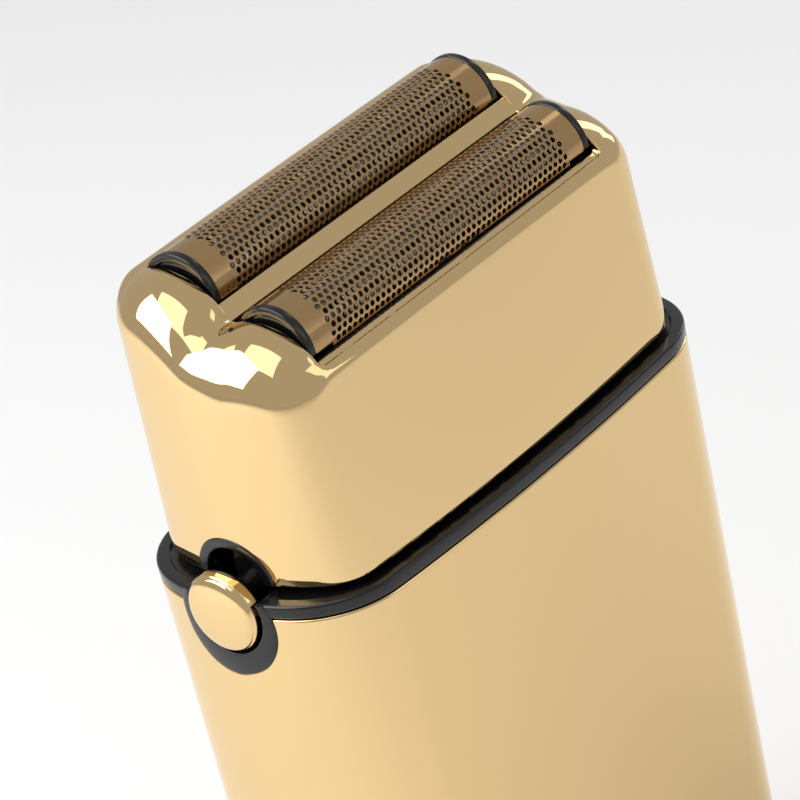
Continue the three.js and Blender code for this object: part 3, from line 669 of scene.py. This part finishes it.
def deck_plate():
    """The closing plate under the head: rounded edge, screw wells and a shaft hole."""
    edge = 0.35
    rings = [body_ring(SEAT_Z - 2, 6.5)]
    for angle in np.linspace(0, math.pi / 2, 6):
        rings.append(body_ring(DECK_TOP - edge * (1 - math.sin(angle)), 6.5 + edge * (1 - math.cos(angle))))
    plate = loft("deck_plate_visual", rings, caps=(True, True), sharp=40)
    fix_normals(plate)
    wells = [post_cutter(2.7, DECK_TOP - 1.2, DECK_TOP + 2, x, y) for x, y in DECK_CORNERS]
    sealing = post_cutter(6.2, DECK_TOP - 1, DECK_TOP + 2, 0, 0)
    return cut_away(plate, sealing, post_cutter(4, 70, 84, 0, 0), *wells)


def deck_rails():
    rails = [block("rail", (-13, y, DECK_TOP - 0.1), (13, y + 0.8, BRIDGE_BOTTOM - 0.3), 0.2, 3)
             for y in (-7.2, 6.4)]
    pads = [block("pad", (x - 1.2, -3.4, DECK_TOP - 0.1), (x + 1.2, 3.4, DECK_TOP + 0.7), 0.25, 3)
            for x in (-11, 11)]
    return merge("deck_rails", *rails, *pads)


def deck_seal():
    """A soft boot round the shaft with two bellows folds."""
    low, high = DECK_TOP - 0.8, DECK_TOP + 1.8
    points = [(4.25, low), (6.05, low), (6.05, DECK_TOP + 0.35), (5.0, DECK_TOP + 0.6), (5.5, DECK_TOP + 1.0),
              (4.7, DECK_TOP + 1.25), (5.0, high - 0.15), (4.25, high)]
    section = rounded_loop(points, 0.25, 4)
    turn = np.linspace(0, 2 * math.pi, 64, endpoint=False)
    rings = [np.c_[r * np.cos(turn), r * np.sin(turn), np.full(64, h)] for r, h in section]
    obj = loft("deck_seal_boot", rings, closed=True, sharp=60)
    fix_normals(obj)
    return obj


# ---------------------------------------------------------------- collar, rings and buttons
def end_surface(y, z, proud=0.0):
    """How far out the body's narrow end stands at a point of that face."""
    scale = 1 - BODY_TAPER * (SEAT_Z - z)
    r = BODY["end_radius"] * scale
    return (BODY["half_length"] - BODY["end_radius"]) * scale + np.sqrt(r * r - y * y) + proud


def collar_flange():
    r = 0.32
    rings = []
    for angle in np.linspace(0, math.pi / 2, 6):
        rings.append(body_ring(SEAT_Z - COLLAR_THICK + r * (1 - math.sin(angle)), r * (1 - math.cos(angle))))
    rings = rings[::-1]
    rings.insert(0, body_ring(SEAT_Z - COLLAR_THICK, 2.6))
    for angle in np.linspace(0, math.pi / 2, 6):
        rings.append(body_ring(SEAT_Z - r * (1 - math.sin(angle)), r * (1 - math.cos(angle))))
    rings.append(body_ring(SEAT_Z, 1.25))
    rings.append(body_ring(SEAT_Z - 0.25, 1.45))
    rings.append(body_ring(SEAT_Z - 0.25, 6.0))
    rings.append(body_ring(SEAT_Z - COLLAR_THICK, 6.0))
    obj = loft("collar_flange", rings, closed=True, sharp=40)
    fix_normals(obj)
    reach = BUTTON_RADIUS + 0.32
    cutters = [rod_cutter(reach, -34, -20, BUTTON_Z), rod_cutter(reach, 20, 34, BUTTON_Z)]
    return cut_away(obj, *cutters, mapping="NEAREST_POLYNOR")


def collar_skirt():
    """The part of the collar that plugs into the sleeve."""
    rings = [body_ring(SEAT_Z - 6, 1.7), body_ring(SEAT_Z - 5.6, 1.5), body_ring(SEAT_Z - COLLAR_THICK + 0.05, 1.5),
             body_ring(SEAT_Z - COLLAR_THICK + 0.05, 2.6), body_ring(SEAT_Z - 6, 2.6)]
    obj = loft("collar_skirt", rings, closed=True, sharp=40)
    fix_normals(obj)
    reach = BUTTON_RADIUS + 0.32
    return cut_away(obj, rod_cutter(reach, -34, -20, BUTTON_Z), rod_cutter(reach, 20, 34, BUTTON_Z))


def liner_band():
    """The plastic band inside the head, which carries the latch lips."""
    high = WALL_BASE + (roll_start() - WALL_BASE) * 0.42
    rings = [inset_ring(WALL_BASE, 1.75), inset_ring(WALL_BASE + [0, 0, 0.3], 1.6), inset_ring(high, 1.6),
             inset_ring(high, 2.7), inset_ring(WALL_BASE, 2.7)]
    obj = loft("liner_band", rings, closed=True, sharp=40)
    fix_normals(obj)
    reach = ARCH_RADIUS - 1.4
    return cut_away(obj, rod_cutter(reach, -34, -20, ARCH_Z), rod_cutter(reach, 20, 34, ARCH_Z))


def keyhole_ring(name, side):
    """The part of the collar that runs round a button, open at the top."""
    inner = BUTTON_RADIUS + 0.32
    start = math.acos((SEAT_Z - 0.02 - BUTTON_Z) / inner)
    rings = []
    for angle in np.linspace(start, 2 * math.pi - start, 72):
        way = np.array([math.sin(angle), math.cos(angle)])
        offset = RING_Z - BUTTON_Z
        along = way[1] * offset
        outer = along + math.sqrt(RING_RADIUS ** 2 - offset ** 2 + along ** 2)
        if way[1] > 0:
            outer = min(outer, (SEAT_Z - 0.02 - BUTTON_Z) / way[1])
        outer = max(outer, inner + 0.02)
        profile = rounded_loop([(inner, -3.4), (inner, 0.06), (outer, 0.06), (outer, -3.4)], 0.22, 5)
        y = profile[:, 0] * way[0]
        z = BUTTON_Z + profile[:, 0] * way[1]
        rings.append(np.c_[side * (end_surface(y, z) + profile[:, 1]), y, z])
    obj = loft(name, rings, caps=(True, True), sharp=35)
    fix_normals(obj)
    return obj


def housing_end(y, z):
    """How far out the head's narrow end stands near its base."""
    share = np.clip((z - HEAD_BASE_Z) / 22.0, 0, 1)
    radius = HEAD_BASE["end_radius"]
    return HEAD_BASE["half_length"] - 0.8 * share - radius + np.sqrt(radius ** 2 - y * y)


def arch_lip(name, side):
    """The black lip that lines the arched cut-out in the head's narrow end."""
    rings = []
    low = math.acos(max((HEAD_BASE_Z + 0.02 - ARCH_Z) / ARCH_RADIUS, 0.0))
    for angle in np.linspace(-low, low, 60):
        way = np.array([math.sin(angle), math.cos(angle)])
        profile = rounded_loop([(ARCH_RADIUS - 1.0, -2.2), (ARCH_RADIUS - 1.0, 0.0), (ARCH_RADIUS + 0.2, 0.16),
                                (ARCH_RADIUS + 0.2, -2.2)], 0.25, 5)
        y = profile[:, 0] * way[0]
        z = ARCH_Z + profile[:, 0] * way[1]
        rings.append(np.c_[side * (housing_end(y, z) + profile[:, 1]), y, z])
    obj = loft(name, rings, caps=(True, True), sharp=35)
    fix_normals(obj)
    return obj


def release_button(name, side):
    """Round push button with a shallow domed face."""
    shoulder = BUTTON_FACE - 0.95
    points = [(0.01, BUTTON_BACK), (BUTTON_RADIUS - 0.3, BUTTON_BACK), (BUTTON_RADIUS, BUTTON_BACK + 0.3),
              (BUTTON_RADIUS, shoulder), (BUTTON_RADIUS - 0.22, shoulder + 0.22)]
    profile = rounded_profile(points, [0, 0.1, 0.15, 0.12, 0], 6)
    for t in np.linspace(0.04, 1, 24):
        angle = t * math.pi / 2
        radius = (BUTTON_RADIUS - 0.22) * math.cos(angle) + 0.01
        profile.append((radius, shoulder + 0.22 + 0.73 * math.sin(angle)))
    return lathe(name, [(r, side * h) for r, h in profile], (0, 0, BUTTON_Z), "x", 96, 50)


def button_stem(name, side):
    """What holds a button in the collar: its stem, keeper plate and the tongue that latches the head."""
    profile = rounded_profile([(0.01, 26.0), (1.6, 26.0), (1.6, BUTTON_BACK + 0.1), (0.01, BUTTON_BACK + 0.1)],
                              [0, 0.2, 0.1, 0], 4)
    stem = lathe("stem", [(r, side * h) for r, h in profile], (0, 0, BUTTON_Z), "x", 32)
    x0, x1 = sorted((side * 25.8, side * 26.6))
    keeper = block("keeper", (x0, -4.6, SEAT_Z - 5.4), (x1, 4.6, SEAT_Z - COLLAR_THICK - 0.4), 0.2, 3)
    tongue = block("tongue", (x0, -1.6, SEAT_Z - 2), (x1, 1.6, SEAT_Z + 4), 0.2, 3)
    return merge(name, stem, keeper, tongue)


def button_coil(name, side):
    x0 = 20.1 if side > 0 else -24.5
    return coil(name, (0, 0, SEAT_Z - 4.6), x0, x0 + 4.4, 1.8, 0.25, 5, "x")


# ---------------------------------------------------------------- body sleeve
def body_sleeve():
    """The plated shell: both ends rounded over, open for the button rings, the switch and the charge light."""
    top = SEAT_Z - COLLAR_THICK - 0.08
    r = 0.25
    turns = np.linspace(0, math.pi / 2, 6)
    rings = [body_ring(SLEEVE_BOTTOM + r * (1 - math.sin(a)), r * (1 - math.cos(a))) for a in turns[::-1]]
    rings += [body_ring(z) for z in np.linspace(SLEEVE_BOTTOM + r + 0.03, top - r - 0.03, 42)]
    rings += [body_ring(top - r * (1 - math.sin(a)), r * (1 - math.cos(a))) for a in turns]
    rings += [body_ring(top, SLEEVE_WALL), body_ring(SLEEVE_BOTTOM, SLEEVE_WALL)]
    obj = loft("sleeve", rings, closed=True, sharp=50)
    fix_normals(obj)
    bores = [rod_cutter(RING_RADIUS + 0.06, -34, -24, RING_Z), rod_cutter(RING_RADIUS + 0.06, 24, 34, RING_Z)]
    slot = block("slot", (-2.6, -16, SWITCH_Z - 4.6), (2.6, -10, SWITCH_Z + 4.6), 0.9, 5)
    light = block("light", (-1.3, -16, SWITCH_Z - 12.3), (1.3, -10, SWITCH_Z - 9.7), 0.5, 4)
    return cut_away(obj, *bores, slot, light)


def power_slider():
    """The thumb piece in its lower position, ribbed across."""
    low = SWITCH_Z - SLIDER_TRAVEL / 2
    thumb = block("thumb", (-2.2, FACE_Y - 0.15, low - 2.4), (2.2, FACE_Y + 0.8, low + 2.4), 0.35, 4)
    ribs = [block("rib", (-1.7, FACE_Y - 0.35, low + dz - 0.22), (1.7, FACE_Y + 0.1, low + dz + 0.22), 0.14, 3)
            for dz in (-1.4, -0.7, 0.0, 0.7, 1.4)]
    stem = block("stem", (-1.2, FACE_Y + 0.7, low - 1.2), (1.2, -9.6, low + 1.2), 0.15, 2)
    return merge("slider_thumb", thumb, *ribs, stem)


def slider_bezel():
    plate = block("slider_backing", (-4.2, FACE_Y + 1.6, SWITCH_Z - 6.4), (4.2, FACE_Y + 2.2, SWITCH_Z + 6.4),
                  0.15, 2)
    return cut_away(plate, block("slot", (-1.6, -16, SWITCH_Z - 3.2), (1.6, -9, SWITCH_Z + 3.2), 0.3, 3))


def charge_light():
    z = SWITCH_Z - 11
    face = block("face", (-1.1, FACE_Y + 0.02, z - 1.1), (1.1, FACE_Y + 1.7, z + 1.1), 0.35, 4)
    flange = block("flange", (-1.7, FACE_Y + 1.6, z - 1.7), (1.7, FACE_Y + 2.4, z + 1.7), 0.2, 2)
    return merge("charge_lens", face, flange)


# ---------------------------------------------------------------- bottom cap and charging socket
def bottom_cap():
    """The foot: a plate with a rounded edge, a plug into the sleeve, a shallow panel and three bores."""
    r = 0.4
    rings = [body_ring(0.25, 4.2), body_ring(0.25, 3.6), body_ring(0.0, 3.3)]
    rings += [body_ring(r * (1 - math.cos(a)), 0.8 + r * (1 - math.sin(a)))
              for a in np.linspace(0, math.pi / 2, 6)]
    rings += [body_ring(0.9, 0.8), body_ring(0.9, 1.5), body_ring(4.7, 1.5), body_ring(5.0, 1.8)]
    obj = loft("foot_cap", rings, caps=(True, True), sharp=30)
    fix_normals(obj)
    bores = [post_cutter(2.7, -2, 1.6, x, 0) for x in (-CAP_SCREW_X, CAP_SCREW_X)]
    shanks = [post_cutter(1.3, -1, 7, x, 0) for x in (-CAP_SCREW_X, CAP_SCREW_X)]
    return cut_away(obj, post_cutter(SOCKET_RADIUS + 0.3, -2, 7, 0, 0), *bores, *shanks)


def charging_socket():
    return tube("socket_barrel", 3.3, SOCKET_RADIUS, 0.3, 13, edge=0.3)


def socket_pin():
    profile = rounded_profile([(0.02, 5.3), (0.6, 5.3), (1.0, 6.0), (1.0, 15.5), (0.02, 15.5)],
                              [0, 0.3, 0.2, 0.1, 0], 5)
    return lathe("socket_contact", profile, (0, 0, 0), sides=32)


# ---------------------------------------------------------------- materials
def new_material(name):
    material = bpy.data.materials.new(name)
    material.use_nodes = True
    tree = material.node_tree
    return material, tree, tree.nodes["Principled BSDF"]


def node(tree, kind, **values):
    made = tree.nodes.new(kind)
    for key, value in values.items():
        if key in made.inputs:
            made.inputs[key].default_value = value
        else:
            setattr(made, key, value)
    return made


def noise(tree, scale, detail=3.0, stretch=(1, 1, 1), roughness=0.5):
    place = node(tree, "ShaderNodeTexCoord")
    mapping = node(tree, "ShaderNodeMapping")
    mapping.inputs["Scale"].default_value = stretch
    texture = node(tree, "ShaderNodeTexNoise", Scale=scale, Detail=detail, Roughness=roughness)
    tree.links.new(place.outputs["Object"], mapping.inputs["Vector"])
    tree.links.new(mapping.outputs["Vector"], texture.inputs["Vector"])
    return texture.outputs["Fac"]


def spread_value(tree, source, low, high):
    out = node(tree, "ShaderNodeMapRange")
    out.inputs["To Min"].default_value = low
    out.inputs["To Max"].default_value = high
    tree.links.new(source, out.inputs["Value"])
    return out.outputs["Result"]


def add_bump(tree, shader, source, strength, distance):
    bump = node(tree, "ShaderNodeBump", Strength=strength, Distance=distance)
    tree.links.new(source, bump.inputs["Height"])
    tree.links.new(bump.outputs["Normal"], shader.inputs["Normal"])
    return bump


def gold_mirror():
    material, tree, shader = new_material("gold_mirror")
    shader.inputs["Base Color"].default_value = (0.83, 0.6, 0.3, 1)
    shader.inputs["Metallic"].default_value = 1.0
    smudge = noise(tree, 60.0, 4.0)
    tree.links.new(spread_value(tree, smudge, 0.015, 0.04), shader.inputs["Roughness"])
    add_bump(tree, shader, noise(tree, 90.0, 2.0), 0.1, 0.0001)
    return material


def foil_metal():
    material, tree, shader = new_material("foil_metal")
    shader.inputs["Base Color"].default_value = (0.5, 0.32, 0.15, 1)
    shader.inputs["Metallic"].default_value = 0.95
    streak = noise(tree, 400.0, 4.0, (0.2, 1, 1))
    tree.links.new(spread_value(tree, streak, 0.1, 0.18), shader.inputs["Roughness"])
    add_bump(tree, shader, noise(tree, 900.0, 2.0), 0.1, 0.00001)
    return material


def black_gloss():
    material, tree, shader = new_material("black_gloss")
    shader.inputs["Base Color"].default_value = (0.006, 0.006, 0.007, 1)
    grain = noise(tree, 1500.0, 3.0)
    tree.links.new(spread_value(tree, grain, 0.14, 0.26), shader.inputs["Roughness"])
    add_bump(tree, shader, grain, 0.05, 0.00001)
    return material


def plain_material(name, colour, rough_low, rough_high, metallic=0.0, scale=500.0, bump=0.1, depth=0.00002):
    material, tree, shader = new_material(name)
    shader.inputs["Metallic"].default_value = metallic
    grain = noise(tree, scale, 4.0)
    tint = node(tree, "ShaderNodeMix", data_type="RGBA")
    tint.inputs["A"].default_value = (*[c * 0.88 for c in colour], 1)
    tint.inputs["B"].default_value = (*colour, 1)
    tree.links.new(grain, tint.inputs["Factor"])
    tree.links.new(tint.outputs["Result"], shader.inputs["Base Color"])
    tree.links.new(spread_value(tree, grain, rough_low, rough_high), shader.inputs["Roughness"])
    add_bump(tree, shader, grain, bump, depth)
    return material


MATERIALS = dict(
    mirror_gold=gold_mirror(),
    foil_metal=foil_metal(),
    black_plastic=black_gloss(),
    dark_plastic=plain_material("dark_plastic", (0.035, 0.036, 0.04), 0.4, 0.55),
    white_plastic=plain_material("white_plastic", (0.72, 0.7, 0.64), 0.35, 0.5),
    steel=plain_material("steel", (0.6, 0.6, 0.61), 0.22, 0.36, 1.0, 700.0),
    brass=plain_material("brass", (0.75, 0.55, 0.25), 0.2, 0.34, 1.0, 700.0),
    nickel=plain_material("nickel", (0.7, 0.69, 0.65), 0.2, 0.3, 1.0, 600.0),
    board=plain_material("board", (0.02, 0.14, 0.05), 0.3, 0.45),
    cell_wrap=plain_material("cell_wrap", (0.03, 0.16, 0.4), 0.25, 0.35),
    rubber=plain_material("rubber", (0.02, 0.02, 0.02), 0.6, 0.8, 0.0, 900.0, 0.3),
    lens=plain_material("lens", (0.75, 0.82, 0.75), 0.1, 0.2),
)


def dress(obj, slot, body, *replaced):
    """Gives a piece its material and the CAD body it moves with."""
    obj.data.materials.clear()
    obj.data.materials.append(MATERIALS[slot])
    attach(obj, body)
    if replaced:
        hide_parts(*replaced)
    return obj


# ---------------------------------------------------------------- camera, floor and light
def add_camera():
    azimuth, elevation, roll = math.radians(-45), math.radians(27.5), math.radians(-13.5)
    level = math.cos(elevation)
    back = Vector((math.sin(azimuth) * level, -math.cos(azimuth) * level, math.sin(elevation)))
    right = Vector((math.cos(azimuth), math.sin(azimuth), 0))
    up = back.cross(right)
    side = right * math.cos(roll) + up * math.sin(roll)
    head_up = -right * math.sin(roll) + up * math.cos(roll)
    target = Vector((-0.8, 1.65, SEAT_Z + 3.75))
    data = bpy.data.cameras.new("camera")
    data.lens = 176.0
    data.sensor_width = 36.0
    data.clip_start = 0.01
    camera = bpy.data.objects.new("camera", data)
    bpy.context.scene.collection.objects.link(camera)
    rows = Matrix((side, head_up, back)).transposed()
    camera.matrix_world = Matrix.Translation((target + back * 372.0) * MM) @ rows.to_4x4()
    bpy.context.scene.camera = camera


def add_floor():
    corners = [(-4000, -4000, 0), (4000, -4000, 0), (4000, 4000, 0), (-4000, 4000, 0)]
    floor = make_object("floor", corners, [(0, 1, 2, 3)])
    material, tree, shader = new_material("floor_paper")
    shader.inputs["Base Color"].default_value = (0.94, 0.94, 0.94, 1)
    shader.inputs["Roughness"].default_value = 0.9
    floor.data.materials.append(material)


# Softboxes round the object: azimuth from +Y towards +X and elevation in degrees, then distance, width, height
# in metres, and power in watts.
SOFTBOXES = dict(
    key=(-55, 42, 0.62, 0.5, 0.5, 2.9),
    overhead=(-90, 72, 0.65, 0.5, 0.4, 0.8),
    front=(150, 30, 0.9, 0.25, 0.5, 0.35),
    right=(90, 25, 0.6, 0.12, 0.5, 0.3),
)
STUDIO_GREY = 0.48


def add_softboxes():
    aim = Vector((0, 0, 0.07))
    for name, (azimuth, elevation, distance, width, height, power) in SOFTBOXES.items():
        turn, tilt = math.radians(azimuth), math.radians(elevation)
        away = Vector((math.sin(turn) * math.cos(tilt), math.cos(turn) * math.cos(tilt), math.sin(tilt)))
        light = bpy.data.lights.new(name + "_softbox", "AREA")
        light.shape = "RECTANGLE"
        light.size = width
        light.size_y = height
        light.energy = power
        holder = bpy.data.objects.new(name + "_softbox", light)
        holder.location = aim + away * distance
        holder.rotation_euler = away.to_track_quat("Z", "Y").to_euler()
        bpy.context.scene.collection.objects.link(holder)


def add_world():
    """One plain pale grey all round."""
    world = bpy.data.worlds.new("studio")
    world.use_nodes = True
    colour = world.node_tree.nodes["Background"].inputs["Color"]
    colour.default_value = (STUDIO_GREY, STUDIO_GREY, STUDIO_GREY, 1)
    bpy.context.scene.world = world
    bpy.context.scene.view_settings.view_transform = "Standard"


# ---------------------------------------------------------------- build
add_camera()
add_floor()
add_world()
add_softboxes()

for entry in frame["record"]["subparts"]:
    node_object = frame["nodes"][entry["node"]]
    node_object.data.materials.clear()
    node_object.data.materials.append(MATERIALS[entry["material_slot"]])

dress(head_housing(), "mirror_gold", "head", "head_housing")
dress(centre_bar(), "mirror_gold", "head", "head_housing")
dress(liner_band(), "black_plastic", "head", "head_liner")
dress(collar_flange(), "black_plastic", "body", "collar")
dress(collar_skirt(), "black_plastic", "body", "collar")
dress(body_sleeve(), "mirror_gold", "body", "body_sleeve")

for side, tag in ((-1, "left"), (1, "right")):
    dress(arch_lip(f"arch_lip_{tag}", side), "black_plastic", "head", "head_liner")
    dress(keyhole_ring(f"keyhole_ring_{tag}", side), "black_plastic", "body", "collar")
    dress(release_button(f"button_{tag}", side), "mirror_gold", f"{tag}_button", f"release_button_{tag}")
    dress(button_stem(f"button_stem_{tag}", side), "black_plastic", f"{tag}_button", f"release_button_{tag}")
    dress(button_coil(f"button_coil_{tag}", side), "steel", "body", f"button_spring_{tag}")

for tag in ("front", "rear"):
    unit, cutter = f"foil_unit_{tag}", f"cutter_{tag}"
    dress(foil_sheet(f"foil_sheet_{tag}", FOIL_ACROSS[tag]), "foil_metal", unit, f"foil_{tag}")
    for side, end in ((-1, "left"), (1, "right")):
        for piece in cassette_end(tag, side, end):
            dress(piece, "black_plastic", unit, f"foil_cassette_{tag}")
    dress(cassette_rails(tag), "black_plastic", unit, f"foil_cassette_{tag}")
    dress(cutter_blade(tag), "steel", cutter, f"cutter_blade_{tag}")
    dress(cutter_holder(tag), "dark_plastic", cutter, f"cutter_holder_{tag}")
    dress(bridge_post(tag), "white_plastic", "carriage", "drive_bridge")
    spring, low, high = cutter_spring(tag)
    dress(spring, "steel", "carriage", f"cutter_spring_{tag}")
    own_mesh(spring)

dress(drive_bridge(), "white_plastic", "carriage", "drive_bridge")
dress(deck_plate(), "black_plastic", "body", "deck_plate")
dress(deck_rails(), "black_plastic", "body", "deck_plate")
dress(deck_seal(), "rubber", "body", "deck_seal")
for i, (x, y) in enumerate(DECK_CORNERS, 1):
    dress(cross_screw(f"deck_fixing_{i}", x, y, DECK_TOP + 0.2, True, 8.4), "steel", "body", f"deck_screw_{i}")
for i, x in enumerate((-CAP_SCREW_X, CAP_SCREW_X), 1):
    dress(cross_screw(f"cap_fixing_{i}", x, 0, 0.15, False, 7), "steel", "body", f"cap_screw_{i}")

dress(power_slider(), "mirror_gold", "slider", "power_slider")
dress(slider_bezel(), "black_plastic", "body", "slider_bezel")
dress(charge_light(), "lens", "body", "charge_light_lens")
dress(bottom_cap(), "black_plastic", "body", "bottom_cap")
dress(charging_socket(), "dark_plastic", "body", "charging_socket")
dress(socket_pin(), "nickel", "body", "socket_pin")
